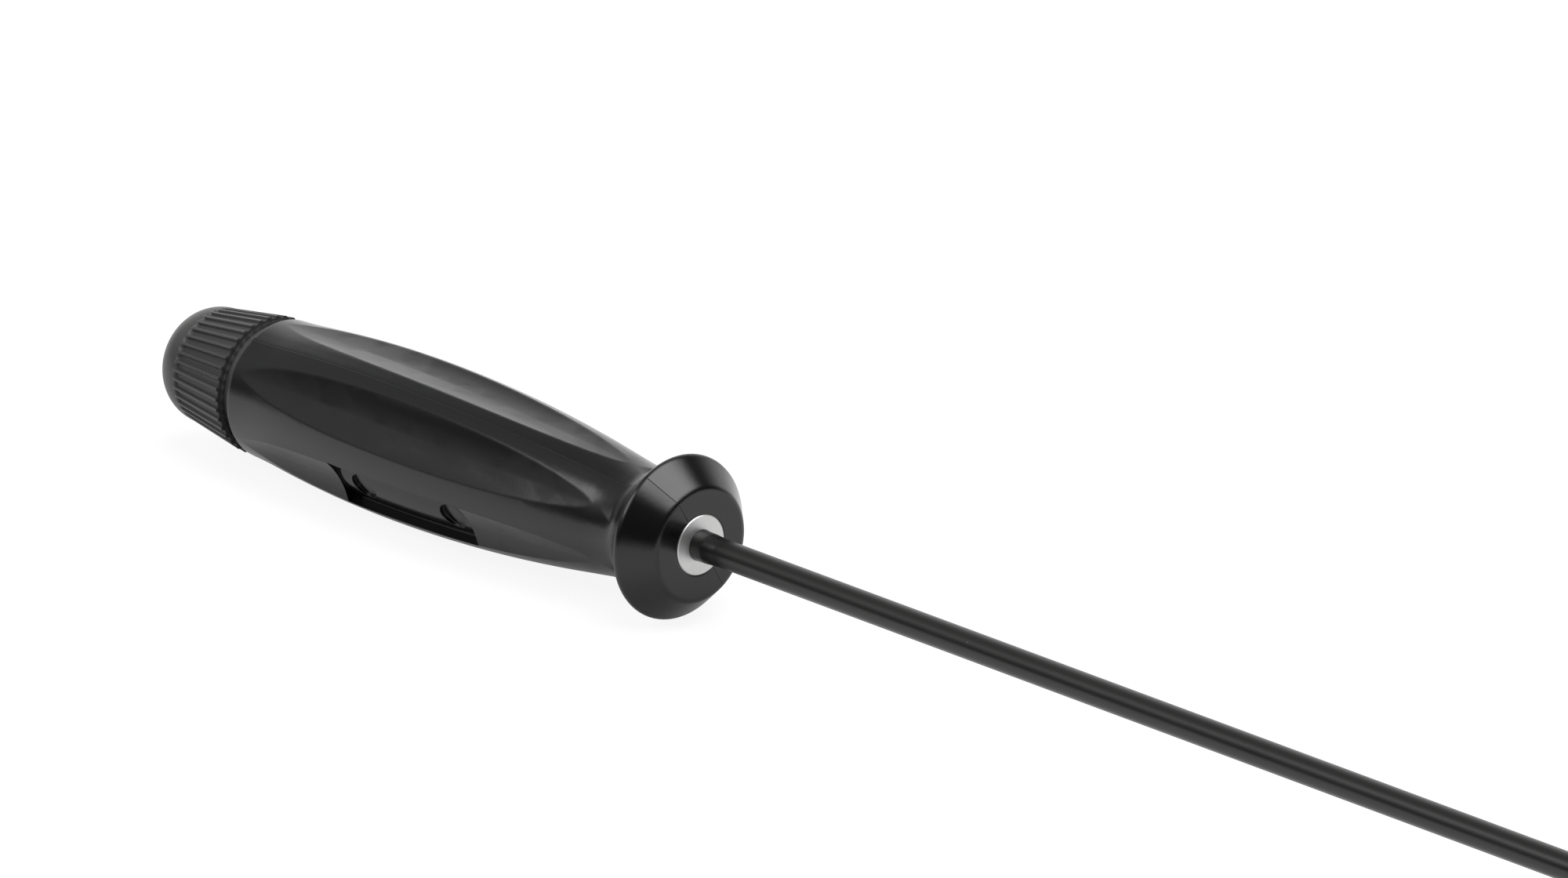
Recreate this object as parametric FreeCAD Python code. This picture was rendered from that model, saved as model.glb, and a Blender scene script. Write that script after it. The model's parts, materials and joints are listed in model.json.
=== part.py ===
import FreeCAD, Part
import math
import os

# A cable shutter release: a moulded grip with a fluted thumb cap behind it and
# a straight black stem in front, which ends in a small fitting for the camera.
# X runs along the object, from the thumb cap towards the camera, and the axis of
# everything is the line Y = Z = 0. Shapes are drawn from the front face of the
# grip, with the joint plane of its two halves flat and the visible half upwards.
# They are turned about the axis and moved when they are saved, so that X = 0
# ends up at the shoulder where the camera thread begins.

os.makedirs("parts", exist_ok=True)

V = FreeCAD.Vector
ORIGIN = V(0, 0, 0)
AXIS = V(1, 0, 0)
UP = V(0, 0, 1)

# Driving sizes, in millimetres and degrees
set_turn = 120.8
grip_length = 86.8
belly_radius = 11.66
belly_from_rear = 29.3
belly_line_radius = 270.0
rim_radius = 10.05
rim_chamfer = 0.15
neck_radius = 8.1
neck_round = 5.0
run_round = 25.0
flange_radius = 11.72
flange_depth = 4.6
flange_round = 0.9
flange_back_angle = 43.0
flange_cone_angle = 40.0
face_round = 0.9
wall = 2.05
seam_width = 0.06
seam_depth = 0.05

scallop_count = 6
scallop_depth = 1.28
scallop_hollow = 13.5
scallop_line_radius = 600.0
scallop_apex_from_rear = 22.3
scallop_bend_from_rear = 12.8

pocket_centre = -51.0
pocket_length = 26.4
pocket_half_width = 3.9
pocket_depth = 1.5
screw_centre = -50.55
screw_spread = 17.9
sink_radius = 2.2
sink_depth = 0.55
screw_radius = 1.0
screw_head_radius = 2.0
screw_head_height = 1.5
boss_radius = 2.5
boss_base_radius = 3.3
dowel_radius = 0.7

stroke = 1.5
mouth_depth = 6.8
cap_flute_length = 11.3
cap_rear_radius = 8.4
cap_chamfer = 0.5
dome_height = 6.75
dome_flatness = 0.55
flute_count = 40
flute_depth = 0.34
flute_runout = 0.5
ridge_width = 0.3
peg_radius = 0.6
peg_place = 3.75
cap_turn = 60.0

stem_radius = 2.0
stem_length = 183.0
tube_radius = 1.6
tube_bore = 0.95
wire_radius = 0.6
bush_face_radius = 4.3
bush_radius = 3.6
bush_collar_radius = 5.0

plunger_radius = 2.5
rod_radius = 2.0
rear_guide_radius = 3.6
front_guide_radius = 3.4
guide_length = 5.0
link_half = 1.5
link_width = 4.7
tongue_half = 0.8
tongue_length = 3.9
rear_pin_radius = 0.75
front_pin_radius = 0.6
spring_wire = 0.35
spring_radius = 3.3
spring_turns = 5.5

nose_radius = 1.75
nose_tip_radius = 1.45
nose_length = 5.7
release_pin_radius = 0.75

fit = 0.06
glue = 0.01
free = 0.3
end_gap = 0.2

# Positions along the axis that follow from them
rear = -grip_length
belly_x = rear + belly_from_rear
mouth_end = rear + mouth_depth
cap_front = rear - stroke - free
cap_rear = cap_front - cap_flute_length
dome_top = cap_rear - dome_height
core_end = cap_front - 9.6
hub_back = cap_front - 4.8
washer_back = hub_back - 0.7
shoulder_back = rear + 2.4
shoulder_front = shoulder_back + 1.5
skirt_front = mouth_end - stroke - 0.5
screw_xs = [screw_centre - screw_spread / 2, screw_centre + screw_spread / 2]
slot_half = boss_radius + free
slot_travel = stroke + free
link_back = screw_xs[0] - slot_travel - slot_half - 2.2
link_front = screw_xs[1] + slot_half + 2.0
rear_pin_x = link_back - 2.3
front_pin_x = link_front + 2.2
rear_web_front = link_back - 5.7
rear_web_back = rear_web_front - guide_length
front_web_back = link_front + 5.3
front_web_front = front_web_back + guide_length - 1.0
bush_back = -13.0
bush_step = -2.2
seat_front = bush_back - 2.6
seat_back = seat_front - 0.7
tube_back = seat_front - 0.4
crimp_front = tube_back - stroke - 0.6
crimp_back = crimp_front - 2.4
tip = stem_length
nipple_front = tip + 8.6
thread_seat = nipple_front + 0.6
nose_end = thread_seat + nose_length

# Radii that follow
cap_front_radius = rim_radius - 0.05
skirt_radius = rim_radius - 1.1
mouth_radius = skirt_radius + free
scallop_bottom = belly_radius - scallop_depth
room_radius = scallop_bottom - wall
rear_room_radius = rim_radius - 2.45
front_room_radius = 6.0
core_radius = cap_rear_radius - 1.2
core_bore = core_radius - 1.2
hub_bore = plunger_radius + fit
pilot_end = room_radius - 1.9
screw_head_seat = room_radius - 2.8
boss_base_start = link_half + 0.9
ferrule_radius = stem_radius + 0.75


def turned(points):
    """A solid turned about the axis from outline points (x, radius)."""
    vs = [V(x, 0, r) for x, r in points]
    wire = Part.makePolygon(vs + [vs[0]])
    return Part.Face(wire).revolve(ORIGIN, AXIS, 360)


def ring(x0, x1, r_in, r_out):
    """A plain ring between two positions."""
    solid = Part.makeCylinder(r_out, x1 - x0, V(x0, 0, 0), AXIS)
    if r_in > 0:
        solid = solid.cut(Part.makeCylinder(r_in, x1 - x0 + 2, V(x0 - 1, 0, 0), AXIS))
    return solid


def post(x, z0, z1, radius):
    """A round post across the joint plane."""
    return Part.makeCylinder(radius, z1 - z0, V(x, 0, z0), UP)


def block(x0, x1, y0, y1, z0, z1):
    """A plain box between two positions each way."""
    return Part.makeBox(x1 - x0, y1 - y0, z1 - z0, V(x0, y0, z0))


def clip(x0, x1, r_in, r_out, gap_half):
    """An open spring clip in a groove."""
    shape = ring(x0, x1, r_in, r_out)
    return shape.cut(block(x0 - 1, x1 + 1, -gap_half, gap_half, 0, 8))


def sector(x0, x1, radius, start, turn):
    """A wedge about the axis, with its angles taken from +Y towards +Z."""
    shape = Part.makeCylinder(radius, x1 - x0, ORIGIN, UP, turn)
    shape.rotate(ORIGIN, V(0, 1, 0), 90)
    shape.rotate(ORIGIN, AXIS, 90 + start)
    shape.translate(V(x0, 0, 0))
    return shape


def save(name, shape, merged=True):
    """Turns and moves a finished piece to its place and writes its file."""
    if merged and len(shape.Solids) == 1:
        shape = shape.removeSplitter()
    shape.rotate(ORIGIN, AXIS, set_turn)
    shape.translate(V(-thread_seat, 0, 0))
    if len(shape.Solids) == 1:
        shape = shape.Solids[0]
    else:
        shape = Part.makeCompound(shape.Solids)
    assert shape.isValid(), name
    shape.exportStep("parts/" + name + ".step")
    print(name, "solids", len(shape.Solids), "volume", round(shape.Volume, 2))


# The grip

def corner(before, point, after, radius):
    """The start of a rounded corner, the corner's arc and its end."""
    u = (before - point).normalize()
    v = (after - point).normalize()
    half = u.getAngle(v) / 2
    inwards = (u + v).normalize()
    start = point + u * (radius / math.tan(half))
    end = point + v * (radius / math.tan(half))
    middle = point + inwards * (radius / math.sin(half) - radius)
    return start, Part.Arc(start, middle, end).toShape(), end


def belly_height(x):
    """The radius of the grip in front of the belly, on one long arc."""
    return belly_radius - (x - belly_x) ** 2 / (2 * belly_line_radius)


def grip_outline(inset):
    """The outside of the grip, moved inwards by the inset."""
    back_slope = math.tan(math.radians(flange_back_angle))
    cone_slope = math.tan(math.radians(flange_cone_angle))
    # heights of the back line and the cone line above the centre of the rim's round
    back_rise = flange_round / math.cos(math.radians(flange_back_angle))
    cone_rise = flange_round / math.cos(math.radians(flange_cone_angle))
    centre = flange_radius - flange_round - inset
    tip_dx = (cone_rise - back_rise) / (back_slope + cone_slope)
    tip_point = V(-flange_depth + tip_dx, 0, centre + back_rise + back_slope * tip_dx)
    root = V(tip_point.x - (tip_point.z - neck_radius + inset) / back_slope, 0, neck_radius - inset)
    face_point = V(-inset, 0, tip_point.z - cone_slope * (-inset - tip_point.x))
    front_middle = V(-inset, 0, 0)
    neck_end, neck_arc, back_start = corner(root - V(9, 0, 0), root, tip_point, neck_round)
    back_end, tip_arc, cone_start = corner(root, tip_point, face_point, flange_round)
    cone_end, face_arc, face_start = corner(tip_point, face_point, front_middle, face_round)
    # lip, rise to the belly, fall from it, straight run down to the neck
    lip = V(rear + rim_chamfer, 0, rim_radius - inset)
    lip_middle = V(rear + 3.3, 0, rim_radius + 0.185 - inset)
    rise = V(rear + 6.8, 0, rim_radius + 0.5 - inset)
    rise_middle = V(rear + 18.8, 0, belly_radius - 0.24 - inset)
    belly = V(belly_x, 0, belly_radius - inset)
    fall_middle = V(-38.0, 0, belly_height(-38.0) - inset)
    fall = V(-22.0, 0, belly_height(-22.0) - inset)
    run_end = V(-13.0, 0, neck_radius - inset)
    run_stop, run_arc, neck_start = corner(fall, run_end, neck_end, run_round)
    rim_face = V(rear, 0, rim_radius - rim_chamfer - inset)
    edges = [
        Part.makeLine(V(rear, 0, 0), rim_face),
        Part.makeLine(rim_face, lip),
        Part.Arc(lip, lip_middle, rise).toShape(),
        Part.Arc(rise, rise_middle, belly).toShape(),
        Part.Arc(belly, fall_middle, fall).toShape(),
        Part.makeLine(fall, run_stop),
        run_arc,
        Part.makeLine(neck_start, neck_end),
        neck_arc,
        Part.makeLine(back_start, back_end),
        tip_arc,
        Part.makeLine(cone_start, cone_end),
        face_arc,
        Part.makeLine(face_start, front_middle),
        Part.makeLine(front_middle, V(rear, 0, 0)),
    ]
    solid = Part.Face(Part.Wire(edges)).revolve(ORIGIN, AXIS, 360)
    solid.rotate(ORIGIN, AXIS, 90)
    return solid


def scallop_tool(angle):
    """The waisted cutter of one long finger hollow."""
    far = scallop_bottom + scallop_hollow
    apex = rear + scallop_apex_from_rear
    bend = rear + scallop_bend_from_rear
    x0, x1 = rear - 5.0, -10.0

    def height(x):
        return scallop_bottom - (x - apex) ** 2 / (2 * scallop_line_radius)

    start = V(x0, 0, height(bend) - (apex - bend) / scallop_line_radius * (bend - x0))
    turn = V(bend, 0, height(bend))
    end = V(x1, 0, height(x1))
    middle = V((bend + x1) / 2, 0, height((bend + x1) / 2))
    wire = Part.Wire([
        Part.makeLine(start, turn),
        Part.Arc(turn, middle, end).toShape(),
        Part.makeLine(end, V(x1, 0, far)),
        Part.makeLine(V(x1, 0, far), V(x0, 0, far)),
        Part.makeLine(V(x0, 0, far), start),
    ])
    tool = Part.Face(wire).revolve(V(0, 0, far), AXIS, 360)
    tool.rotate(ORIGIN, AXIS, angle)
    return tool


def floor_core():
    """What is left under the pockets: a barrel that follows the belly."""
    x0 = pocket_centre - pocket_length / 2 - 1
    x1 = pocket_centre + pocket_length / 2 + 1
    start, middle, end = [V(x, 0, belly_height(x) - pocket_depth) for x in (x0, (x0 + x1) / 2, x1)]
    edges = [
        Part.Arc(start, middle, end).toShape(),
        Part.makeLine(end, V(x1, 0, 0)),
        Part.makeLine(V(x1, 0, 0), V(x0, 0, 0)),
        Part.makeLine(V(x0, 0, 0), start),
    ]
    solid = Part.Face(Part.Wire(edges)).revolve(ORIGIN, AXIS, 360)
    solid.rotate(ORIGIN, AXIS, 90)
    return solid


def pocket_tool(side):
    """The flat-sided pocket, whose floor follows the belly."""
    x0 = pocket_centre - pocket_length / 2
    x1 = pocket_centre + pocket_length / 2
    bar = block(x0, x1, -pocket_half_width, pocket_half_width, room_radius, belly_radius + 4)
    bar = bar.cut(floor_core())
    if side < 0:
        bar.rotate(ORIGIN, AXIS, 180)
    return bar


def grip_block():
    """Both halves of the grip in one, with every hollow."""
    body = grip_outline(0)
    for n in range(scallop_count):
        body = body.cut(scallop_tool(360.0 / scallop_count * n))
    for side in (1, -1):
        body = body.cut(pocket_tool(side))
    # mouth for the cap, rear room, web, main room, web, front room, seat of the bush
    for x0, x1, r in [
        (rear - 1, mouth_end, mouth_radius),
        (mouth_end, rear_web_back, rear_room_radius),
        (rear_web_back, rear_web_front, rear_guide_radius),
        (rear_web_front, front_web_back, room_radius),
        (front_web_back, front_web_front, front_guide_radius),
        (front_web_front, bush_back, front_room_radius),
        (bush_back, bush_step, bush_radius),
        (bush_back + 2.8, bush_back + 4.2, bush_collar_radius),
        (bush_step, 1.0, bush_face_radius),
    ]:
        body = body.cut(ring(x0, x1, 0, r))
    seam = block(rear - 1, 1, -20, 20, -seam_width / 2, seam_width / 2)
    return body.cut(seam.cut(grip_outline(seam_depth)))


def boss(x):
    """One screw post of a half, drawn upwards."""
    upper = post(x, boss_base_start, room_radius + 0.4, boss_base_radius)
    return post(x, 0, room_radius + 0.4, boss_radius).fuse(upper)


body = grip_block()
dowel_place = (room_radius + belly_radius) / 2
dowels = [(pocket_centre, dowel_place), (pocket_centre, -dowel_place), (-6.0, 7.2), (-6.0, -7.2)]

near = body.common(block(rear - 2, 2, -20, 20, 0, 20))
for x in screw_xs:
    near = near.fuse(boss(x))
for x in screw_xs:
    near = near.cut(post(x, -1, pilot_end, screw_radius + 0.03))
    near = near.cut(post(x, belly_height(x) - pocket_depth - sink_depth, belly_radius + 4, sink_radius))
for x, y in dowels:
    near = near.fuse(Part.makeCylinder(dowel_radius, 2.0, V(x, y, -1.0), UP))
save("grip_shell_near", near, merged=False)

far = body.common(block(rear - 2, 2, -20, 20, -20, 0))
for x in screw_xs:
    lower = boss(x)
    lower.rotate(ORIGIN, AXIS, 180)
    far = far.fuse(lower)
for x in screw_xs:
    far = far.cut(post(x, -belly_radius - 4, 1, screw_radius + 0.2))
    far = far.cut(post(x, -belly_radius - 4, -screw_head_seat, sink_radius))
for x, y in dowels:
    far = far.cut(Part.makeCylinder(dowel_radius + 0.1, 3.0, V(x, y, -1.2), UP))
save("grip_shell_far", far, merged=False)

# Two screws from the hidden half into the visible one
screws = []
for x in screw_xs:
    head_top = -screw_head_seat - screw_head_height
    head = post(x, head_top, -screw_head_seat, screw_head_radius)
    head = head.cut(block(x - 1.2, x + 1.2, -0.3, 0.3, head_top - 1, head_top + 0.7))
    shank = post(x, -screw_head_seat, pilot_end - 1.4, screw_radius)
    point = Part.makeCone(screw_radius, 0.3, 1.0, V(x, 0, pilot_end - 1.4), UP)
    screws.append(head.fuse(shank).fuse(point))
save("shell_screws", Part.makeCompound(screws))

# Bright bush in the front face, which holds the stem
bush_bore = tube_radius + 2 * glue
bush = ring(bush_back, bush_step, bush_bore, bush_radius)
bush = bush.fuse(ring(bush_back + 2.8, bush_back + 4.2, bush_bore, bush_collar_radius))
bush = bush.fuse(turned([(bush_step, bush_bore), (0.12, bush_bore), (0.12, bush_face_radius - 0.12),
                         (0, bush_face_radius), (bush_step, bush_face_radius)]))
bush = bush.cut(ring(bush_step - 0.8, 1.0, 0, stem_radius + 0.24))
save("front_bush", bush)

# The stem: a stiff tube in a black sleeve, held in the bush by a collar
save("stem_tube", ring(tube_back, tip + 4.0, tube_bore, tube_radius))

sleeve_bore = tube_radius + glue
save("stem_sleeve", turned([
    (bush_step - 0.6, sleeve_bore),
    (tip, sleeve_bore),
    (tip, stem_radius),
    (4.6, stem_radius),
    (3.6, stem_radius + 0.05),
    (2.2, stem_radius + 0.16),
    (0.2, stem_radius + 0.2),
    (bush_step - 0.6, stem_radius + 0.2),
]))

save("tube_collar", ring(seat_front, bush_back, sleeve_bore, tube_radius + 1.2))
save("spring_seat", ring(seat_back, seat_front, tube_radius + 0.1, spring_radius + 1.3))

# Nylon guides of the plunger, each with a flange against its web
rear_guide = ring(rear_web_back, rear_web_front, plunger_radius + fit, rear_guide_radius)
rear_guide = rear_guide.fuse(ring(rear_web_back - 0.8, rear_web_back, plunger_radius + fit, rear_guide_radius + 1.2))
save("rear_guide", rear_guide)

front_guide = ring(front_web_back, front_web_front, rod_radius + fit, front_guide_radius)
front_guide = front_guide.fuse(ring(front_web_back - 0.8, front_web_back, rod_radius + fit, front_guide_radius + 1.2))
save("front_guide", front_guide)


# Return spring: a six-sided wire in tilted half turns, which meet end to end
clip_front = front_web_front + 1.15
spring_back = clip_front + 0.15
half_turns = int(spring_turns * 2)
half_pitch = (seat_back - spring_back - 2 * spring_wire) / half_turns
coil = None
roll = 0.0
for n in range(half_turns):
    side = 1 if n % 2 == 0 else -1
    x = spring_back + spring_wire + half_pitch * n
    start = V(x, side * spring_radius, 0)
    middle = V(x + half_pitch / 2, 0, 0)
    turning_axis = (start - middle).cross(V(0, 0, side)).normalize()
    corners = []
    for k in range(7):
        a = roll + math.radians(60 * k)
        corners.append(start + V(spring_wire * math.cos(a), spring_wire * math.sin(a), 0))
    half = Part.Face(Part.makePolygon(corners)).revolve(middle, turning_axis, 180)
    coil = half if coil is None else coil.fuse(half)
    # the next half turn starts with its wire rolled as this one ends
    roll = 2 * math.atan2(turning_axis.y, turning_axis.x) - roll
print("least gap of the coil to itself", round(2 * half_pitch - 2 * spring_wire, 3))
save("return_spring", coil)

# Plunger: rear stem, slotted link around the screw posts, front rod
plunger = ring(washer_back - 2.1, link_back - end_gap, 0, plunger_radius)
plunger = plunger.fuse(ring(shoulder_back, shoulder_front, 0, 4.7))
tongue_slot = tongue_half + 0.05
plunger = plunger.cut(block(link_back - tongue_length - end_gap, link_back, -4, 4, -tongue_slot, tongue_slot))
plunger = plunger.cut(ring(rear_web_front + 0.15, rear_web_front + 0.9, 2.0, 3.0))
plunger = plunger.cut(ring(washer_back - 0.9, washer_back - 0.1, 2.0, 3.0))
# the notch lets the cap's peg turn, with a little room at both ends
peg_half_angle = math.degrees(math.asin(peg_radius / peg_place))
notch_room = peg_half_angle + 4.8
notch = sector(shoulder_back - 0.6, shoulder_front + 0.6, 6.0, -notch_room, cap_turn + 2 * notch_room)
plunger = plunger.cut(notch.cut(ring(shoulder_back - 1, shoulder_front + 1, 0, 2.9)))
plunger = plunger.cut(post(rear_pin_x, -4, 4, rear_pin_radius + 2 * glue))
save("plunger_stem", plunger)

link = block(link_back, link_front, -link_width, link_width, -link_half, link_half)
long_edges = [e for e in link.Edges if e.BoundBox.XLength > 1]
link = link.makeFillet(0.5, long_edges)
link = link.fuse(block(link_back - tongue_length, link_back, -2.2, 2.2, -tongue_half, tongue_half))
link = link.fuse(block(link_front, link_front + tongue_length, -1.7, 1.7, -tongue_half, tongue_half))
for x in screw_xs:
    link = link.cut(block(x - slot_travel, x, -slot_half, slot_half, -3, 3))
    link = link.cut(post(x - slot_travel, -3, 3, slot_half))
    link = link.cut(post(x, -3, 3, slot_half))
link = link.cut(post(rear_pin_x, -4, 4, rear_pin_radius + 2 * glue))
link = link.cut(post(front_pin_x, -4, 4, front_pin_radius + 2 * glue))
save("slotted_link", link)

rod = ring(link_front + end_gap, crimp_back, 0, rod_radius)
rod = rod.cut(block(link_front, link_front + tongue_length + end_gap, -4, 4, -tongue_slot, tongue_slot))
rod = rod.cut(ring(clip_front - 0.75, clip_front + 0.05, 1.6, 3.0))
rod = rod.cut(ring(crimp_back - 5.0, crimp_back + 0.5, 0, wire_radius + glue))
rod = rod.cut(post(front_pin_x, -4, 4, front_pin_radius + 2 * glue))
save("front_rod", rod)

rear_pin = post(rear_pin_x, -2.2, 2.2, rear_pin_radius)
front_pin = post(front_pin_x, -1.8, 1.8, front_pin_radius)
save("link_pins", Part.makeCompound([rear_pin, front_pin]))

save("stop_clip", clip(rear_web_front + 0.2, rear_web_front + 0.85, 2.02, 3.9, 1.5))
save("spring_clip", clip(clip_front - 0.7, clip_front, 1.62, 4.2, 1.2))
save("cap_clip", clip(washer_back - 0.85, washer_back - 0.15, 2.02, 3.8, 1.5))

save("push_wire", ring(crimp_back - 4.9, tip + 8.0, 0, wire_radius))
save("wire_crimp", ring(crimp_back, crimp_front, wire_radius + glue, 1.5))

# Thumb cap: a fluted cone, a dome of two tangent arcs behind it
shoulder_round = dome_height - dome_flatness
crown_round = (dome_height ** 2 + (cap_rear_radius - shoulder_round) ** 2 - shoulder_round ** 2) / (2 * dome_flatness)
crown_centre = dome_top + crown_round
shoulder_centre = V(cap_rear, 0, cap_rear_radius - shoulder_round)
towards = (shoulder_centre - V(crown_centre, 0, 0)).normalize()
meeting = shoulder_centre + towards * shoulder_round
crown_half = math.atan2(meeting.z, crown_centre - meeting.x) / 2
crown_middle = V(crown_centre - crown_round * math.cos(crown_half), 0, crown_round * math.sin(crown_half))
shoulder_half = math.atan2(cap_rear - meeting.x, meeting.z - shoulder_centre.z) / 2
shoulder_middle = shoulder_centre + V(-math.sin(shoulder_half), 0, math.cos(shoulder_half)) * shoulder_round
front_edge = V(cap_front, 0, cap_front_radius - cap_chamfer)
flute_start = V(cap_front - cap_chamfer, 0, cap_front_radius)
flute_end = V(cap_rear, 0, cap_rear_radius)
cap_wire = Part.Wire([
    Part.makeLine(V(cap_front, 0, 0), front_edge),
    Part.makeLine(front_edge, flute_start),
    Part.makeLine(flute_start, flute_end),
    Part.Arc(flute_end, shoulder_middle, meeting).toShape(),
    Part.Arc(meeting, crown_middle, V(dome_top, 0, 0)).toShape(),
    Part.makeLine(V(dome_top, 0, 0), V(cap_front, 0, 0)),
])
cap = Part.Face(cap_wire).revolve(ORIGIN, AXIS, 360)
slope = (flute_end - flute_start).normalize()
outwards = V(slope.z, 0, -slope.x)


def flute_section(point, width, depth):
    """The four-sided outline of a flute, square to the cap's slope."""
    above = 0.4
    side_lean = 0.6
    low = point - outwards * depth
    high = point + outwards * above
    half = width / 2 - depth * side_lean
    reach = width / 2 + above * side_lean
    corners = [low + V(0, half, 0), high + V(0, reach, 0), high - V(0, reach, 0), low - V(0, half, 0)]
    return Part.makePolygon(corners + corners[:1])


flute_width = 2 * math.pi * cap_front_radius / flute_count - ridge_width
flute_rear_width = 2 * math.pi * cap_rear_radius / flute_count - ridge_width
flute_tool = Part.makeLoft([
    flute_section(flute_start - slope * 1.5, flute_width, flute_depth),
    flute_section(flute_end - slope * (flute_runout + 0.1), flute_rear_width, flute_depth),
    flute_section(flute_end - slope * 0.05, flute_rear_width, -0.02),
], True, True)
flutes = []
for n in range(flute_count):
    tool = flute_tool.copy()
    tool.rotate(ORIGIN, AXIS, 360.0 / flute_count * n)
    flutes.append(tool)
cap = cap.cut(flutes)
cap = cap.cut(ring(core_end - 0.2, cap_front + 1, 0, core_radius))
cap = cap.cut(turned([(core_end - 0.2, 0), (core_end - 0.2, core_bore), (dome_top + 5.0, core_bore - 1.0),
                      (dome_top + 2.2, 0)]))
save("thumb_cap", cap)

# Core of the cap: a sleeve in the cap, a skirt in the mouth, a web and a hub
core = ring(core_end, cap_front, core_bore, core_radius)
core = core.fuse(ring(cap_front, skirt_front, core_radius + 0.2, skirt_radius))
core = core.fuse(ring(cap_front, cap_front + 1.0, core_bore, core_radius + 0.4))
core = core.fuse(ring(hub_back + 1.0, hub_back + 3.0, hub_bore, core_bore + 0.2))
core = core.fuse(ring(hub_back, shoulder_back - end_gap, hub_bore, 4.2))
core = core.fuse(Part.makeCylinder(peg_radius, 1.6, V(shoulder_back - 0.3, peg_place, 0), AXIS))
save("cap_core", core)

save("friction_washer", ring(washer_back, hub_back - 0.05, hub_bore, 4.0))

# Camera end: a ferrule on the stem, a collar that turns on it, the threaded nose
ferrule = ring(tip - 3.0, tip + 3.0, 0, ferrule_radius)
ferrule = ferrule.fuse(ring(tip + 3.0, tip + 8.0, 0, 2.2))
ferrule = ferrule.fuse(ring(tip + 6.6, tip + 7.8, 0, 2.7))
ferrule = ferrule.cut(ring(tip - 4.0, tip, 0, stem_radius + glue))
ferrule = ferrule.cut(ring(tip - 1.0, tip + 4.0, 0, tube_radius + glue))
ferrule = ferrule.cut(ring(tip - 1.0, tip + 9.0, 0, tube_bore))
save("tip_ferrule", ferrule)

nipple = ring(tip + 3.2, tip + 6.4, 2.2 + fit, 3.7).fuse(ring(tip + 6.3, nipple_front, 3.0, 3.7))
save("nipple_collar", nipple)

nose = turned([
    (nipple_front, 0),
    (nipple_front, 3.5),
    (thread_seat, 3.5),
    (thread_seat, nose_radius),
    (nose_end - 0.3, nose_tip_radius),
    (nose_end, nose_tip_radius - 0.25),
    (nose_end, 0),
])
nose = nose.fuse(ring(nipple_front - 0.5, nipple_front + 0.1, 0, 2.98))
nose = nose.cut(ring(tip + 7.0, nose_end + 1, 0, release_pin_radius + fit))
save("nipple_nose", nose)

pin = ring(nipple_front + 0.3, nose_end - 0.2, 0, release_pin_radius)
pin = pin.cut(ring(tip + 8.0, nipple_front + 2.4, 0, wire_radius + glue))
save("tip_pin", pin)
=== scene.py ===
# %% [markdown]
# # A cable shutter release
#
# A photographer screws the small fitting at the end of the stem into a camera
# and presses the fluted cap at the other end with a thumb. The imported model
# brings every solid of it, already in place, in metres, with X along the object
# and its zero at the shoulder where the camera thread begins. This lesson gives
# each solid a finish, adds the detail that is too fine for solids, and sets up
# the camera, the floor and the light of the photograph.

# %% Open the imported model
import bpy
import json
import math
from mathutils import Matrix, Vector

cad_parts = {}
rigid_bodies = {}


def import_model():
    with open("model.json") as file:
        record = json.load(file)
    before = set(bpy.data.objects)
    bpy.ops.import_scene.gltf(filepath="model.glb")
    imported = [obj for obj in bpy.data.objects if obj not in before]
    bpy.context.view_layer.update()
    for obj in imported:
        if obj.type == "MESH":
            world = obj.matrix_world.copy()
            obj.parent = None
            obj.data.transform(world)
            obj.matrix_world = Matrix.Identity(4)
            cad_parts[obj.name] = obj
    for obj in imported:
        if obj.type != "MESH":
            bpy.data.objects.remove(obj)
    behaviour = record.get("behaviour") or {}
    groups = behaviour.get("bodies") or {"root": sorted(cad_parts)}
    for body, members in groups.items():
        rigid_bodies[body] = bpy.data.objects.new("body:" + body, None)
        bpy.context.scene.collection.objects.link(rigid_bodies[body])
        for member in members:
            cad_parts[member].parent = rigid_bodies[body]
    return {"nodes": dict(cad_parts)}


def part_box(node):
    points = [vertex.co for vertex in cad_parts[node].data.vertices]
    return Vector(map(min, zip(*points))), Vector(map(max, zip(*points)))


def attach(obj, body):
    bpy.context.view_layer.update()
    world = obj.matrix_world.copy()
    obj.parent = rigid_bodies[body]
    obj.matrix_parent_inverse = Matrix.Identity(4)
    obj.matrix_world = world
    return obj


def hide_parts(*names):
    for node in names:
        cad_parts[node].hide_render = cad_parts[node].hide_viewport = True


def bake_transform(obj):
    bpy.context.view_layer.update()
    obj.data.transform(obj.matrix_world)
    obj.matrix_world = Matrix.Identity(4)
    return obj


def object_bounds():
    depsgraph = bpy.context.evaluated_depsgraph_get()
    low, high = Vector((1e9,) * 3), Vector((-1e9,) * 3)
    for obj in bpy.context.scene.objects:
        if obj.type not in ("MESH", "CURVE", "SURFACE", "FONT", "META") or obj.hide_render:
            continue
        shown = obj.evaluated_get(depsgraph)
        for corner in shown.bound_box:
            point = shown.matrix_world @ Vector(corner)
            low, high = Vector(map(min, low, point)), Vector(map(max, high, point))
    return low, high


for thing in list(bpy.data.objects):
    bpy.data.objects.remove(thing)
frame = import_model()
nodes = frame["nodes"]
cad_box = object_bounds()
scene = bpy.context.scene
print("solids:", len(nodes), "box:", [round(v * 1000, 2) for v in (*cad_box[0], *cad_box[1])])

# %% [markdown]
# ## The camera
#
# The picture was taken with a long lens, so lines along the grip and the stem
# hardly draw together. The direction and the distance come from the rings that
# can be seen on the object: the flange, the rim of the grip and the end of the
# flutes are circles, and their widths in the picture fix the view. The camera
# looks straight along its own axis, so it needs no shift. It is placed from the
# middle of the grip's front face: back along its own axis, then a little to the
# right and up.

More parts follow.
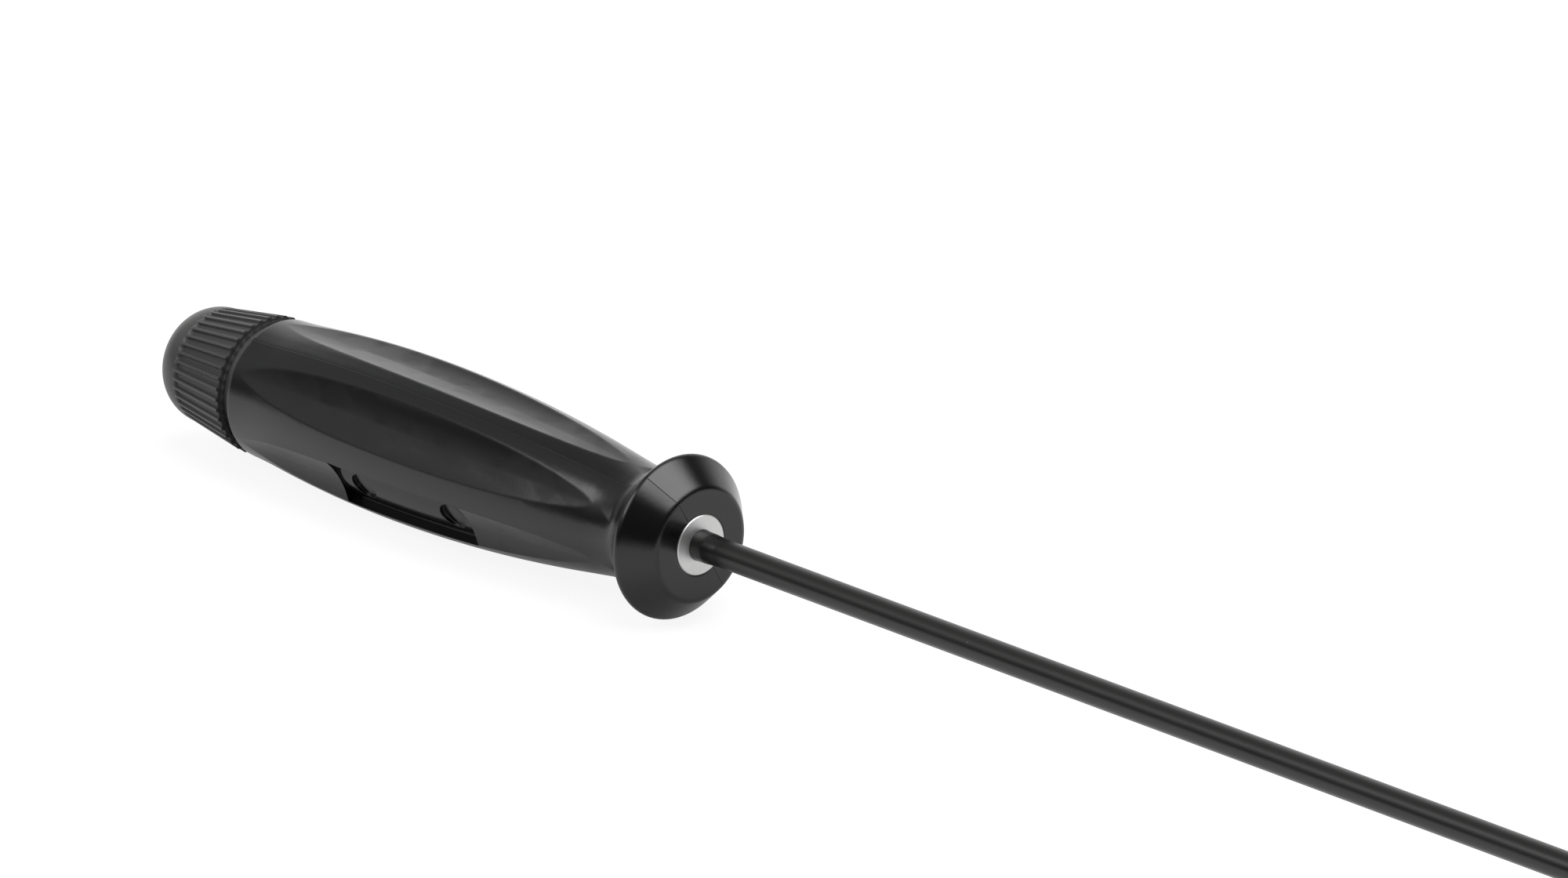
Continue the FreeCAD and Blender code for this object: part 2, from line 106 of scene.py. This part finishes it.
# %% Camera at the photograph's view
turn = math.radians(-42.766)
rise = math.radians(19.723)
back = Vector((math.cos(rise) * math.cos(turn), math.cos(rise) * math.sin(turn), math.sin(rise)))
right = Vector((-math.sin(turn), math.cos(turn), 0))
up = back.cross(right)
grip_face = Vector((-0.1922, 0, 0))
camera_place = grip_face + back * 2.88678 + right * 0.011411 + up * 0.014510

focal_length_in_pixels = 26912.7
picture_width_in_pixels = 2000
camera_data = bpy.data.cameras.new("view_of_the_picture")
camera_data.sensor_width = 36
camera_data.lens = 36 * focal_length_in_pixels / picture_width_in_pixels
camera_data.clip_start = 0.1
camera_data.clip_end = 30
camera = bpy.data.objects.new("view_of_the_picture", camera_data)
scene.collection.objects.link(camera)
facing = Matrix((right, up, back)).transposed().to_4x4()
camera.matrix_world = Matrix.Translation(camera_place) @ facing
scene.camera = camera
print("lens", round(camera_data.lens, 1), "mm at", round(camera.location.length, 2), "m")

# %% [markdown]
# ## Shader sums
#
# A finish is a sum of patterns: some noise here, a ring pattern there. Nodes
# wired one by one are hard to read, so a small class wraps an output and lets
# ordinary Python signs add the Math nodes. Its method between() is a smooth
# step: 0 below the first value, 1 above the second. Its method magnitude()
# drops a minus sign. Every other node comes from one method that takes its
# type, its settings and what feeds its sockets.

# %% A wrapper for outputs
class Wire:
    def __init__(self, finish, output):
        self.finish = finish
        self.output = output

    def sum(self, kind, first, second=None):
        feeds = {0: first} if second is None else {0: first, 1: second}
        return self.finish.node("ShaderNodeMath", {"operation": kind}, feeds)

    def __add__(self, other):
        return self.sum("ADD", self, other)

    def __radd__(self, other):
        return self.sum("ADD", other, self)

    def __sub__(self, other):
        return self.sum("SUBTRACT", self, other)

    def __rsub__(self, other):
        return self.sum("SUBTRACT", other, self)

    def __mul__(self, other):
        return self.sum("MULTIPLY", self, other)

    def __rmul__(self, other):
        return self.sum("MULTIPLY", other, self)

    def __pow__(self, other):
        return self.sum("POWER", self, other)

    def above(self, level):
        return self.sum("GREATER_THAN", self, level)

    def sine(self):
        return self.sum("SINE", self)

    def root(self):
        return self.sum("SQRT", self)

    def magnitude(self):
        return (self ** 2.0).root()

    def between(self, low, high):
        settings = {"interpolation_type": "SMOOTHSTEP"}
        feeds = {"Value": self, "From Min": low, "From Max": high}
        return self.finish.node("ShaderNodeMapRange", settings, feeds)


# %% A finish and its nodes
class Finish:
    def __init__(self, name, **plain):
        self.material = bpy.data.materials.new(name)
        self.material.use_nodes = True
        self.tree = self.material.node_tree
        self.shader = self.tree.nodes["Principled BSDF"]
        for socket, value in plain.items():
            self.shader.inputs[socket.replace("_", " ")].default_value = value

    def set_or_link(self, socket, value):
        if isinstance(value, Wire):
            self.tree.links.new(value.output, socket)
        else:
            socket.default_value = value

    def node(self, kind, settings=None, feeds=None, output=0):
        made = self.tree.nodes.new(kind)
        for name, value in (settings or {}).items():
            setattr(made, name, value)
        for socket, value in (feeds or {}).items():
            self.set_or_link(made.inputs[socket], value)
        return Wire(self, made.outputs[output])

    def output(self, kind, name):
        made = self.node(kind).output.node
        return Wire(self, made.outputs[name])

    def feed(self, socket, value):
        self.tree.links.new(value.output, self.shader.inputs[socket])

    def place(self):
        return self.node("ShaderNodeTexCoord", output="Object")

    def parts_of(self, vector):
        split = self.node("ShaderNodeSeparateXYZ", {}, {"Vector": vector}).output.node
        return [Wire(self, socket) for socket in split.outputs]

    def across(self):
        x, y, z = self.parts_of(self.place())
        return (y * y + z * z).root()

    def noise(self, scale, detail=2.0, rough=0.5, where=None):
        where = where or self.place()
        feeds = {"Vector": where, "Scale": scale, "Detail": detail, "Roughness": rough}
        return self.node("ShaderNodeTexNoise", {}, feeds)

    def stretched(self, along, across):
        feeds = {"Vector": self.place(), "Scale": (along, across, across)}
        return self.node("ShaderNodeMapping", {}, feeds)

    def mixed(self, share, first, second):
        made = self.node("ShaderNodeMix", {"data_type": "RGBA"}).output.node
        for at, value in ((0, share), (6, first), (7, second)):
            self.set_or_link(made.inputs[at], value)
        return Wire(self, made.outputs[2])

    def rounded(self, radius):
        return self.node("ShaderNodeBevel", {"samples": 6}, {"Radius": radius})

    def bump(self, height, depth, strength=1.0, below=None):
        feeds = {"Height": height, "Strength": strength, "Distance": depth}
        if below:
            feeds["Normal"] = below
        made = self.node("ShaderNodeBump", {}, feeds)
        self.feed("Normal", made)
        return made


def grey(level, tint=0.0):
    return (level, level * (1 + tint * 0.5), level * (1 + tint), 1)


# %% [markdown]
# ## Dust
#
# Black plastic shows every speck. A cell pattern has one random point in each
# cell, and the distance to it gives a dot. Only a few cells keep their dot, so
# the specks look scattered and not laid out.

# %% Specks of dust
def dust(finish, cells, size, share):
    feeds = {"Vector": finish.place(), "Scale": cells}
    cell = finish.node("ShaderNodeTexVoronoi", {}, feeds)
    dot = 1 - cell.between(size * 0.5, size)
    colour = Wire(finish, cell.output.node.outputs["Color"])
    red = finish.node("ShaderNodeSeparateColor", {}, {"Color": colour})
    return dot * red.above(1 - share)


# %% [markdown]
# ## The grip's moulded plastic
#
# The grip is moulded in a hard, glossy black plastic. Its colour is a shade off
# pure black. The gloss isn't quite even: handling leaves slightly duller
# smudges, and the skin has the orange peel of a polished mould. Both come from
# noise, the smudges in Roughness and the peel in a shallow Bump.
#
# A mould has no sharp edges, so its creases catch a thin line of light. Rounding
# every edge of the mesh would cost many faces, and a Bevel node rounds only the
# shading. Its radius is small at the joint of the two halves and inside the
# pocket, whose edges are crisp, and larger on the lands. The halves don't meet
# perfectly: the body rises a few hundredths of a millimetre towards the joint,
# and a hairline groove runs along it.

# %% Where the grip's joint runs
joint_turn = math.radians(30.8)
grip_finish = Finish("moulded_black", IOR=1.5, Specular_IOR_Level=0.5)
x, y, z = grip_finish.parts_of(grip_finish.place())
from_joint = (y * math.cos(joint_turn) + z * math.sin(joint_turn)).magnitude()
on_body = 1 - x.between(grip_face.x - 0.012, grip_face.x - 0.007)
off_the_joint = from_joint.between(0.0002, 0.0006)
at_the_pocket = from_joint.between(0.0088, 0.0098)
ridge = (1 - from_joint.between(0.0, 0.0014)) * on_body
groove = (1 - from_joint.between(0.00002, 0.00013)) * (0.3 + on_body * 0.7)

# %% Grip finish
smudge = grip_finish.noise(70, 2, 0.5).between(0.2, 0.8)
grain = grip_finish.noise(2600, 3, 0.6)
peel = grip_finish.noise(700, 2, 0.5)
specks = dust(grip_finish, 420, 0.045, 0.05)
grip_finish.feed("Base Color", grip_finish.mixed(specks, grey(0.006, 0.06), grey(0.30)))
grip_finish.feed("Roughness", 0.16 + smudge * 0.025 + grain * 0.05 + specks * 0.4)

crisp_round = 0.0001
extra_round = 0.0005
crease_round = crisp_round + off_the_joint * extra_round - at_the_pocket * extra_round
creases = grip_finish.rounded(crease_round)
meeting = grip_finish.bump(ridge * 0.00004 - groove * 0.000015, 1.0, 1.0, creases)
grip_finish.bump(peel * 0.7 + grain * 0.3, 0.00012, 0.12, meeting)
print("grip finish:", len(grip_finish.tree.nodes), "nodes")

# %% [markdown]
# ## The cap
#
# The cap is a satin plastic with a fine spark-eroded grain, so it is greyer where the light falls across
# it. Thumbs have worn the tops of its flutes and its dome smoother than the valleys, and their colour is
# paler as a painted highlight. How far a point stands above the bottom of its valley is found from its
# distance to the axis, because the flutes are cut on a cone. The narrow edge towards the grip is painted
# black as shade, the ring in front of it is painted pale as light in the gap, and where the valleys run
# out behind it is dull.
#
# Each valley is also a little hollow between its flutes, which a sine around the
# axis adds to the Bump, in step with the flutes of the mesh.

# %% Where the cap's flutes are high or low
cap_finish = Finish("satin_black", IOR=1.5)
x, y, z = cap_finish.parts_of(cap_finish.place())
flute_start = grip_face.x - 0.0891
cone_radius = 0.0100
cone_slope = 0.148
valley_depth = 0.00034
flute_tops = cone_radius - (flute_start - x) * cone_slope
above_valley = cap_finish.across() - flute_tops + valley_depth
on_dome = 1 - x.between(grip_face.x - 0.1001, grip_face.x - 0.0998)
ridge_top = above_valley.sum("MAXIMUM", above_valley.between(0.00008, 0.00032), on_dome)
run_out = (1 - x.between(grip_face.x - 0.0994, grip_face.x - 0.0992)) * (1 - ridge_top)
edge = x.above(grip_face.x - 0.08915) * (1 - x.above(grip_face.x - 0.08862))
front = x.above(grip_face.x - 0.08862)

# %% Cap finish
cap_grain = cap_finish.noise(5200, 3, 0.65)
cap_wear = cap_finish.noise(160, 3, 0.6).between(0.4, 0.8)
cap_specks = dust(cap_finish, 500, 0.04, 0.04)
# painted highlight: the flute tops and the dome are paler than the valleys
plastic = cap_finish.mixed(ridge_top, grey(0.032, -0.03), grey(0.050, -0.03))
# painted shade: the narrow edge towards the grip is black
plastic = cap_finish.mixed(edge, plastic, grey(0.001))
# painted light: the ring in front of the edge is pale, standing in for light in the gap
plastic = cap_finish.mixed(front, plastic, grey(0.07))
cap_finish.feed("Base Color", cap_finish.mixed(cap_specks, plastic, grey(0.28)))
dull = run_out * 0.25 + edge * 0.4
cap_finish.feed("Roughness", 0.46 + cap_grain * 0.10 - cap_wear * 0.05 - ridge_top * 0.12 + dull)

flutes = 40
first_flute = math.radians(90 - flutes * 215.3 % 360)
around = z.sum("ARCTAN2", z, y)
wave = (around * flutes + first_flute).sine() * (1 - on_dome)
hollows = cap_finish.bump(wave * 0.00005, 1.0, 1.0, cap_finish.rounded(0.00014))
cap_finish.bump(cap_grain, 0.00008, 0.25, hollows)
print("cap finish:", len(cap_finish.tree.nodes), "nodes,", flutes, "flutes")

# %% [markdown]
# ## The collar and the stem's skin
#
# The collar in the gap behind the grip is a half-glossy black moulding. Its colour is raised to dark grey
# as painted light, because the gap keeps it in shade. The stem's skin is a drawn sleeve: satin, with a
# grain that is stretched along the stem, so its highlight is a streaky line.

# %% Collar and sleeve finishes
collar_finish = Finish("collar_painted_light", IOR=1.5)
collar_haze = collar_finish.noise(400, 3, 0.6)
# painted light: the collar's colour is raised to dark grey to stand in for light in the gap
collar_finish.feed("Base Color", collar_finish.mixed(collar_haze, grey(0.045), grey(0.065)))
collar_finish.feed("Roughness", 0.30 + collar_haze * 0.1)

sleeve_finish = Finish("drawn_sleeve", IOR=1.5)
draw_lines = sleeve_finish.noise(900, 4, 0.6, sleeve_finish.stretched(0.15, 1.0))
sleeve_grain = sleeve_finish.noise(4200, 3, 0.7)
sleeve_specks = dust(sleeve_finish, 700, 0.05, 0.04)
sleeve_finish.feed("Base Color", sleeve_finish.mixed(sleeve_specks, grey(0.007, -0.12), grey(0.25)))
sleeve_finish.feed("Roughness", 0.21 + draw_lines * 0.10 + sleeve_grain * 0.08)
sleeve_finish.bump(draw_lines * 0.6 + sleeve_grain * 0.4, 0.00003, 0.2)
print("sleeve finish:", len(sleeve_finish.tree.nodes), "nodes")

# %% [markdown]
# ## Metals
#
# The bush is turned: a tool leaves fine rings around the axis, which draw the
# highlight out. A sine of the distance from the axis gives those rings. The
# nickel of the camera fitting is smoother, the inner steel is duller and the
# brass is warm. Nylon is no metal, but it is the last finish: a milky white that
# lets a little light in.

# %% Metal finishes and nylon
def metal(name, colour, rough, ring_pitch=0.0):
    made = Finish(name, Metallic=1.0)
    cloud = made.noise(120, 4, 0.6)
    darker = tuple(v * 0.82 for v in colour[:3]) + (1,)
    made.feed("Base Color", made.mixed(cloud, darker, colour))
    made.feed("Roughness", rough + cloud * 0.1)
    fine = made.noise(3800, 2, 0.5)
    if ring_pitch:
        rings = (made.across() * (2 * math.pi / ring_pitch)).sine() * 0.5 + 0.5
        made.bump(rings * 0.7 + fine * 0.3, 0.00001, 0.2)
    else:
        made.bump(fine, 0.00002, 0.15)
    return made


bush_finish = metal("turned_bright", (0.74, 0.74, 0.735, 1), 0.42, 0.00011)
nickel_finish = metal("nickel", (0.74, 0.72, 0.68, 1), 0.20)
steel_finish = metal("steel", (0.56, 0.56, 0.56, 1), 0.32, 0.0002)
spring_finish = metal("spring_steel", (0.42, 0.42, 0.43, 1), 0.28)
brass_finish = metal("brass", (0.80, 0.58, 0.27, 1), 0.26)

nylon_finish = Finish("nylon", IOR=1.53, Subsurface_Weight=0.15)
nylon_cloud = nylon_finish.noise(300, 3, 0.5)
nylon_finish.feed("Base Color", nylon_finish.mixed(nylon_cloud, grey(0.62, -0.06), grey(0.72, -0.04)))
nylon_finish.feed("Roughness", 0.42 + nylon_cloud * 0.1)
print("materials so far:", len(bpy.data.materials))

# %% [markdown]
# ## Finishes go on
#
# Each solid came with the plain material of its slot. The slot's name says which
# finish replaces it.

# %% Put each finish on its solids
finishes = {
    "grip_black": grip_finish,
    "cap_black": cap_finish,
    "core_black": collar_finish,
    "sleeve_black": sleeve_finish,
    "bush_bright": bush_finish,
    "steel": steel_finish,
    "spring_steel": spring_finish,
    "brass": brass_finish,
    "nickel": nickel_finish,
    "nylon": nylon_finish,
}
for name, solid in nodes.items():
    for slot in solid.material_slots:
        slot.material = finishes[slot.material.name.split(".")[0]].material
print("finishes on", len(nodes), "solids")

# %% [markdown]
# ## The camera thread
#
# The nose is a short taper with a fine thread that screws into a shutter. The
# packed nose is a plain taper of the thread's outer size, because threads are
# too fine for solids. It is turned again here like work on a lathe: a circle is
# extruded from station to station and scaled at each, and the last ring is
# merged with the first. A small triangle swept by a Screw modifier gives the
# thread. Its crests are drawn in to the plain taper, and it fades out at both
# ends.

# %% Helpers for new pieces
def fresh():
    if bpy.context.mode != "OBJECT":
        bpy.ops.object.mode_set(mode="OBJECT")
    bpy.ops.object.select_all(action="DESELECT")


def pick(made):
    fresh()
    made.select_set(True)
    bpy.context.view_layer.objects.active = made


def finish_piece(made, finish, angle=30):
    pick(made)
    bpy.ops.object.shade_smooth_by_angle(angle=math.radians(angle))
    made.data.materials.clear()
    made.data.materials.append(finish.material)


# %% A lathe
def turned(name, stations, sides=64):
    fresh()
    x, radius = stations[0]
    on_edge = (0, math.pi / 2, 0)
    bpy.ops.mesh.primitive_circle_add(vertices=sides, radius=radius, location=(x, 0, 0), rotation=on_edge)
    made = bpy.context.object
    made.name = name
    bpy.ops.object.transform_apply(location=True, rotation=True)
    bpy.ops.object.mode_set(mode="EDIT")
    bpy.ops.mesh.select_all(action="SELECT")
    for (x0, r0), (x1, r1) in zip(stations, stations[1:] + stations[:1]):
        bpy.ops.mesh.extrude_region_move(TRANSFORM_OT_translate={"value": (x1 - x0, 0, 0)})
        bpy.ops.transform.resize(value=(1, r1 / r0, r1 / r0), center_override=(x1, 0, 0))
    bpy.ops.mesh.select_all(action="SELECT")
    bpy.ops.mesh.remove_doubles(threshold=0.000001)
    bpy.ops.mesh.normals_make_consistent(inside=False)
    bpy.ops.object.mode_set(mode="OBJECT")
    print(name, "turned in", len(stations), "stations,", len(made.data.polygons), "faces")
    return made


# %% The nose without its thread
nose_length = 0.0054
thread_depth = 0.00016


def taper(x):
    return 0.00175 - 0.0003 * x / nose_length


nose = turned("threaded_nose", [
    (-0.0011, 0.00081),
    (-0.0011, 0.00298),
    (-0.0006, 0.00298),
    (-0.0006, 0.00338),
    (-0.00048, 0.0035),
    (-0.00012, 0.0035),
    (0.0, 0.00338),
    (0.0, taper(0) - thread_depth),
    (nose_length, taper(nose_length) - thread_depth),
    (0.0057, 0.00112),
    (0.0057, 0.00092),
    (0.0056, 0.00081),
])

# %% The thread, swept from a triangle
pitch = 0.0005
turns = 10
steps_per_turn = 32
lying_along = (math.pi / 2, 0, 0)
start = (0.0002, 0, 0.0015)
fresh()
bpy.ops.mesh.primitive_circle_add(vertices=3, radius=0.00021, location=start, rotation=lying_along)
thread = bpy.context.object
thread.name = "nose_thread"
bpy.ops.object.transform_apply(location=True, rotation=True)
sweep = thread.modifiers.new("sweep", "SCREW")
sweep.axis = "X"
sweep.angle = math.radians(360 * turns)
sweep.screw_offset = pitch * turns
sweep.steps = steps_per_turn * turns
sweep.render_steps = steps_per_turn * turns
bpy.ops.object.modifier_apply(modifier="sweep")
print("thread swept:", turns, "turns,", len(thread.data.polygons), "faces")

# %% Draw the thread in to the taper
fade_length = 0.0006
crest = max(math.hypot(p.co.y, p.co.z) for p in thread.data.vertices)
for point in thread.data.vertices:
    x, y, z = point.co
    radius = math.hypot(y, z)
    fade = min(1.0, max(x, 0.0) / fade_length, max(nose_length - x, 0.0) / fade_length)
    wanted = taper(x) + (radius - crest) - 0.0001 * (1 - fade)
    point.co = (x, y * wanted / radius, z * wanted / radius)

# %% Close the thread and join it to the nose
bpy.ops.object.mode_set(mode="EDIT")
bpy.ops.mesh.select_all(action="DESELECT")
bpy.ops.mesh.select_non_manifold()
bpy.ops.mesh.fill()
bpy.ops.mesh.select_all(action="SELECT")
bpy.ops.mesh.remove_doubles(threshold=0.0000005)
bpy.ops.mesh.normals_make_consistent(inside=False)
bpy.ops.object.mode_set(mode="OBJECT")
fresh()
thread.select_set(True)
nose.select_set(True)
bpy.context.view_layer.objects.active = nose
bpy.ops.object.join()
finish_piece(nose, nickel_finish)
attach(nose, "nipple")
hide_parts("nipple_nose")
print("threaded nose:", len(nose.data.polygons), "faces, crests", round(crest * 1000, 2), "mm")

# %% [markdown]
# ## The collar's knurl
#
# The collar behind the thread is what the fingers turn, so it has a band of
# straight knurls. One ridge is a bar whose upper edges are bevelled and whose
# ends slope down; it is made once and copied around the axis, each copy with
# its own mesh, and all are joined to one band.

# %% One ridge
band_middle = -0.0031
fresh()
bpy.ops.mesh.primitive_cube_add(size=1, location=(band_middle, 0, 0.00372))
knurl = bpy.context.object
knurl.scale = (0.0040, 0.00042, 0.00024)
bpy.ops.object.transform_apply(location=True, scale=True)
bpy.ops.object.mode_set(mode="EDIT")
bpy.ops.mesh.select_mode(type="FACE")
bpy.ops.mesh.select_all(action="DESELECT")
bpy.ops.object.mode_set(mode="OBJECT")
for face in knurl.data.polygons:
    face.select = face.normal.z > 0.9
bpy.ops.object.mode_set(mode="EDIT")
bpy.ops.transform.resize(value=(0.92, 0.40, 1), center_override=(band_middle, 0, 0))
bpy.ops.mesh.bevel(offset=0.00006, segments=2)
bpy.ops.object.mode_set(mode="OBJECT")
print("one ridge:", len(knurl.data.polygons), "faces")

# %% Its copies around the collar
ridges = [knurl]
count = 40
for n in range(1, count):
    pick(knurl)
    bpy.ops.object.duplicate(linked=False)
    ridges.append(bpy.context.object)
    angle = 2 * math.pi * n / count
    bpy.ops.transform.rotate(value=angle, orient_axis="X", center_override=(0, 0, 0))
    bpy.ops.object.transform_apply(location=True, rotation=True)
fresh()
for bar in ridges:
    bar.select_set(True)
bpy.context.view_layer.objects.active = knurl
bpy.ops.object.join()
knurl.name = "collar_knurl"
finish_piece(knurl, nickel_finish)
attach(knurl, "nipple")
print("knurl:", count, "ridges,", len(knurl.data.polygons), "faces")

# %% [markdown]
# ## The return spring
#
# The coil inside the grip stands on its seat at one end and is pushed by the plunger's clip at the other.
# A copy of the coil takes the place of the stiff solid. The copied triangles are loose, so they are
# merged first.

# %% A copy of the coil
coil = bpy.data.objects.new("closing_coil", nodes["return_spring"].data.copy())
scene.collection.objects.link(coil)
pick(coil)
bpy.ops.object.mode_set(mode="EDIT")
bpy.ops.mesh.select_all(action="SELECT")
bpy.ops.mesh.remove_doubles(threshold=0.0000005)
bpy.ops.object.mode_set(mode="OBJECT")
finish_piece(coil, spring_finish, 40)
clip_end, seat_end = (corner.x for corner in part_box("return_spring"))
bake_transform(coil)
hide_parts("return_spring")
length = round((seat_end - clip_end) * 1000, 1)
print("closing coil:", length, "mm long,", len(coil.data.polygons), "faces")

# %% [markdown]
# ## The table
#
# The object lies on a white table. It shows white to the camera and keeps a trace of the shadow, so its
# white is light of its own, seen by the camera, with a dull grey under it that the shadow falls on. A
# glossy black thing also mirrors the table, which lifts its underside to a mid grey. What it mirrors
# carries a painted shadow where the grip stands over the table, and is darker again far out on the
# camera's side.

# %% Table finish
table_finish = Finish("white_table")
seen = table_finish.output("ShaderNodeLightPath", "Is Camera Ray")
mirrored = table_finish.output("ShaderNodeLightPath", "Is Glossy Ray")
through = table_finish.output("ShaderNodeLightPath", "Is Transmission Ray")
x, y, z = table_finish.parts_of(table_finish.place())
grip_above = x.between(grip_face.x - 0.100, grip_face.x - 0.082)
grip_above = grip_above * (1 - x.between(grip_face.x - 0.004, grip_face.x + 0.014))
# painted shadow: the table that the grip mirrors is darkened where the grip stands over it
painted_shadow_under = (1 - y.magnitude().between(0.002, 0.026)) * (0.3 + grip_above * 0.7)
# what the grip mirrors is also darker far out on the camera's side
far_on_camera_side = (0 - y).between(0.07, 0.15)
table = (1 - painted_shadow_under * 0.66) * (1 - far_on_camera_side * 0.80)
white = 0.90
glow = seen * white + (mirrored + through) * table * white
glow_colour = table_finish.node("ShaderNodeCombineColor", {}, {0: glow, 1: glow, 2: glow})
own_light = table_finish.node("ShaderNodeEmission", {}, {"Color": glow_colour, "Strength": 1.0})
matt = table_finish.node("ShaderNodeBsdfDiffuse", {}, {"Color": grey(0.12)})
both = table_finish.node("ShaderNodeAddShader", {}, {0: own_light, 1: matt})
surface = table_finish.tree.nodes["Material Output"].inputs["Surface"]
table_finish.tree.links.new(both.output, surface)

# %% Table
table_top = (-0.15, 0, cad_box[0].z)
fresh()
bpy.ops.mesh.primitive_circle_add(vertices=96, radius=4.0, fill_type="NGON", location=table_top)
floor = bpy.context.object
floor.name = "floor"
bpy.ops.object.transform_apply(location=True)
floor.data.materials.append(table_finish.material)
print("table top at", round(cad_box[0].z * 1000, 2), "mm")

# %% [markdown]
# ## The room and its lamp
#
# A glossy black thing is seen almost only by what it mirrors, so the light was
# read back from the photograph: each bright or dark place on the grip shows what
# lies in the direction that it mirrors. The room is the world's colour, worked
# out from that direction. There is a wide soft light nearly overhead, a white
# backdrop up to its top edge, and grey walls that are darkest low down behind
# the camera. One round softbox stands at the side as a lamp, and the wall glows
# faintly around it. The camera itself sees plain white.

# %% Walls and backdrop
class Room(Finish):
    def __init__(self, name):
        self.world = bpy.data.worlds.new(name)
        self.world.use_nodes = True
        self.tree = self.world.node_tree
        self.shader = self.tree.nodes["Background"]


room = Room("room")
scene.world = room.world
x, y, z = room.parts_of(room.output("ShaderNodeTexCoord", "Generated"))
walls = 0.02 + (0 - x).between(-0.1, 1.0) * 0.38
low_behind_camera = (1 - z.between(0.10, 0.42)) * (0 - y).between(0.0, 0.45)
walls = walls * (1 - low_behind_camera * 0.62)
around_the_softbox = (z * 0.669 - x * 0.302 - y * 0.679).between(0.72, 0.99)
walls = walls + around_the_softbox * 0.24
towards_backdrop = (y * 0.866 - x * 0.5).between(0.45, 0.80)
below_its_top = 1 - (z + x * 0.3 + 0.18).between(0.31, 0.87)
light = walls + (1 - walls) * towards_backdrop * below_its_top

# %% White for the camera, and the light overhead
straight = room.output("ShaderNodeLightPath", "Is Camera Ray")
light = light + straight * (1 - light)
overhead = (x * 0.325 + y * 0.106 + z * 0.940).between(0.78, 0.99)
light = light + (1 - straight) * overhead * 5.0
room.feed("Color", room.node("ShaderNodeCombineColor", {}, {0: light, 1: light, 2: light}))
print("room:", len(room.tree.nodes), "nodes")

# %% Side softbox
sideways = math.radians(-114)
height = math.radians(42)
away = Vector((
    math.cos(height) * math.cos(sideways),
    math.cos(height) * math.sin(sideways),
    math.sin(height),
))
distance = 1.4
radius = 0.42
brightness = 3.4
softbox_data = bpy.data.lights.new("side_softbox", "AREA")
softbox_data.shape = "DISK"
softbox_data.size = radius * 2
softbox_data.energy = brightness * math.pi * math.pi * radius ** 2
softbox = bpy.data.objects.new("side_softbox", softbox_data)
scene.collection.objects.link(softbox)
softbox.location = grip_face + away * distance
softbox.rotation_mode = "QUATERNION"
softbox.rotation_quaternion = away.to_track_quat("Z", "Y")
softbox.visible_camera = False
print("softbox at", [round(v, 2) for v in softbox.location], "power", round(softbox_data.energy, 1))

# %% [markdown]
# ## Finish
#
# The visual model has to stay in the box of the solids. The picture is shown
# without any tone curve.

# %% View
scene.view_settings.view_transform = "Standard"
